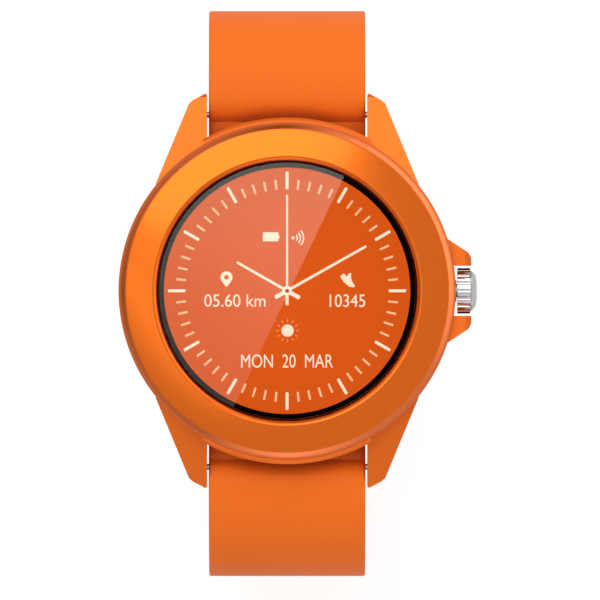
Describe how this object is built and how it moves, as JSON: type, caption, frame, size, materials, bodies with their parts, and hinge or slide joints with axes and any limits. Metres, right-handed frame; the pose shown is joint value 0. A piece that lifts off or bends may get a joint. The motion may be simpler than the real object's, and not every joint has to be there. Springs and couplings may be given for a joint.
{
  "type": "sports watch",
  "caption": "Round sports watch with a raised bezel, fluted crown and four lugs, on a curled two-part silicone strap with a pin buckle and keepers.",
  "frame": {"origin": "on the case axis, at the centre of the rear sensor window's flat outer face, which lies on the wrist", "axes": "+Z out of the display, +Y to 12 o'clock, +X to the crown"},
  "size_m": [0.0457, 0.0728, 0.0667],
  "materials": {
    "case": "satin",
    "bezel": "gloss",
    "rear": "matte",
    "glass": "gloss",
    "sensor_glass": "gloss",
    "black_seal": "matte",
    "display": "gloss",
    "flex": "satin",
    "black_plastic": "matte",
    "board": "satin",
    "chip": "matte",
    "steel": "satin",
    "ceramic": "matte",
    "battery": "satin",
    "foam": "matte",
    "contact": "polished",
    "magnet": "satin",
    "crown": "polished",
    "nylon": "satin",
    "strap": "satin",
    "buckle": "polished"
  },
  "bodies": {
    "case": {"case_middle": "case", "bezel_ring": "bezel", "cover_glass": "glass", "glass_gasket": "black_seal", "display_panel": "display", "display_flex": "flex", "inner_chassis": "black_plastic", "main_board": "board", "shield_can": "steel", "board_chips": "chip", "gps_antenna": "ceramic", "battery": "battery", "battery_pad": "foam", "motor_can": "steel", "motor_base": "contact", "rear_cover": "rear", "rear_gasket": "black_seal", "rear_screws": "steel", "sensor_window": "sensor_glass", "sensor_board": "board", "sensor_leds": "chip", "charge_contacts": "contact", "charge_magnets": "magnet", "crown_tube": "steel", "switch_body": "black_plastic", "switch_bracket": "steel", "switch_flex": "flex"},
    "crown_slide": {"crown_washer": "nylon"},
    "crown": {"crown": "crown", "crown_stem": "steel", "crown_seals": "black_seal", "crown_clip": "steel"},
    "plunger": {"switch_plunger": "nylon"},
    "rotor": {"motor_rotor": "steel"},
    "strap_upper": {"strap_upper": "strap", "upper_bar": "steel", "buckle_pin": "steel", "keeper_fixed": "strap"},
    "upper_bar_tip": {"upper_bar_tip": "steel"},
    "upper_bar_release": {"upper_bar_release": "steel"},
    "strap_lower": {"strap_lower": "strap", "lower_bar": "steel"},
    "lower_bar_tip": {"lower_bar_tip": "steel"},
    "lower_bar_release": {"lower_bar_release": "steel"},
    "buckle_frame": {"buckle_frame": "buckle"},
    "buckle_tongue": {"buckle_tongue": "buckle"},
    "keeper_free": {"keeper_free": "strap"}
  },
  "joints": [
    {"name": "crown_push", "type": "slide", "parent": "case", "child": "crown_slide", "axis": [-1, 0, 0], "range_m": [0, 0.00035], "stiffness_N_per_m": 3000},
    {"name": "crown_turn", "type": "hinge", "parent": "crown_slide", "child": "crown", "pos_m": [0.022, 0, 0.0055], "axis": [1, 0, 0], "continuous": true},
    {"name": "switch_press", "type": "slide", "parent": "case", "child": "plunger", "axis": [-1, 0, 0], "range_m": [0, 0.00035]},
    {"name": "motor_spin", "type": "hinge", "parent": "case", "child": "rotor", "pos_m": [0.0098, -0.0068, 0.0034], "axis": [0, 0, 1], "continuous": true},
    {"name": "upper_strap_swing", "type": "hinge", "parent": "case", "child": "strap_upper", "pos_m": [0, 0.0225, 0.0038], "axis": [1, 0, 0], "range_deg": [-1.5, 55]},
    {"name": "lower_strap_swing", "type": "hinge", "parent": "case", "child": "strap_lower", "pos_m": [0, -0.0225, 0.0038], "axis": [-1, 0, 0], "range_deg": [-1.5, 55]},
    {"name": "upper_tip_slide", "type": "slide", "parent": "strap_upper", "child": "upper_bar_tip", "axis": [1, 0, 0], "range_m": [0, 0.00125], "stiffness_N_per_m": 1000},
    {"name": "upper_release_slide", "type": "slide", "parent": "strap_upper", "child": "upper_bar_release", "axis": [-1, 0, 0], "range_m": [0, 0.00125], "stiffness_N_per_m": 1000},
    {"name": "lower_tip_slide", "type": "slide", "parent": "strap_lower", "child": "lower_bar_tip", "axis": [1, 0, 0], "range_m": [0, 0.00125], "stiffness_N_per_m": 1000},
    {"name": "lower_release_slide", "type": "slide", "parent": "strap_lower", "child": "lower_bar_release", "axis": [-1, 0, 0], "range_m": [0, 0.00125], "stiffness_N_per_m": 1000},
    {"name": "buckle_swing", "type": "hinge", "parent": "strap_upper", "child": "buckle_frame", "pos_m": [0, 0.01798, -0.04528], "axis": [1, 0, 0], "range_deg": [-90, 60]},
    {"name": "tongue_swing", "type": "hinge", "parent": "buckle_frame", "child": "buckle_tongue", "pos_m": [0, 0.01798, -0.04528], "axis": [1, 0, 0], "range_deg": [0, 70]},
    {"name": "keeper_slide", "type": "slide", "parent": "strap_upper", "child": "keeper_free", "axis": [0, 0.1908, 0.9816], "range_m": [-0.0005, 0.008]}
  ],
  "couplings": [
    {"joint": "switch_press", "follows": "crown_push", "ratio": 1}
  ]
}
